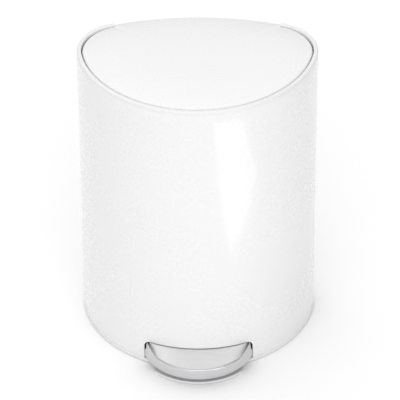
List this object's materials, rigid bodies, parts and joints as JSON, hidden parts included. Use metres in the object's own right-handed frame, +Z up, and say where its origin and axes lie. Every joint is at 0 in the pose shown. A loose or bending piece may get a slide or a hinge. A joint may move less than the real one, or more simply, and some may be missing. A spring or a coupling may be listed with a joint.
{
  "type": "step trash can",
  "caption": "Semi-round pedal bin: steel shell with a collar, hinged crowned lid, foot pedal with lever and lift rod, and an inner bucket.",
  "frame": {"origin": "on the floor, at the centre of the footprint (body and pedal)", "axes": "+X to the right seen from the front, +Y to the back, +Z up; the pedal faces -Y"},
  "size_m": [0.2336, 0.1872, 0.3194],
  "materials": {
    "white_paint": "smooth gloss",
    "white_plastic": "smooth",
    "polished_steel": "polished",
    "satin_steel": "satin",
    "plain_steel": "plain",
    "grey_plastic": "fine matt",
    "light_plastic": "fine matt",
    "black_plastic": "matt",
    "rubber": "matt"
  },
  "bodies": {
    "can": {"outer_shell": "white_paint", "top_collar": "white_plastic", "rim_bumpers": "rubber", "base_moulding": "white_plastic", "feet": "rubber", "lever_bracket": "plain_steel", "lever_axle": "plain_steel", "base_screws": "plain_steel", "channel_cover": "light_plastic", "rod_guides": "black_plastic", "damper_cylinder": "black_plastic", "damper_saddle": "black_plastic", "hinge_bracket": "plain_steel", "hinge_pin": "plain_steel", "hinge_screws": "plain_steel"},
    "lid": {"lid_skin": "white_paint", "lid_liner": "light_plastic", "lid_hinge_arm": "plain_steel", "crank_pin": "plain_steel", "lid_screws": "plain_steel"},
    "rod": {"lift_rod": "plain_steel", "lift_yoke": "black_plastic", "rod_foot": "black_plastic", "foot_pin": "plain_steel", "damper_piston": "plain_steel", "damper_clamp": "black_plastic"},
    "pedal": {"pedal_band": "polished_steel", "pedal_pad": "satin_steel", "pedal_lever": "plain_steel", "pedal_rivets": "plain_steel"},
    "bucket": {"inner_bucket": "grey_plastic"}
  },
  "joints": [
    {"name": "lid_open", "type": "hinge", "parent": "can", "child": "lid", "pos_m": [0, 0.087, 0.3095], "axis": [-1, 0, 0], "range_deg": [0, 75]},
    {"name": "rod_lift", "type": "slide", "parent": "can", "child": "rod", "axis": [0, 0, 1], "range_m": [0, 0.017]},
    {"name": "pedal_press", "type": "hinge", "parent": "can", "child": "pedal", "pos_m": [0, -0.049, 0.01], "axis": [1, 0, 0], "range_deg": [0, 7.91]},
    {"name": "bucket_lift", "type": "slide", "parent": "can", "child": "bucket", "axis": [0, 0, 1], "range_m": [0, 0.005]}
  ],
  "couplings": [
    {"joint": "rod_lift", "follows": "lid_open", "m_per_rad": 0.012987},
    {"joint": "pedal_press", "follows": "lid_open", "ratio": 0.10551}
  ]
}
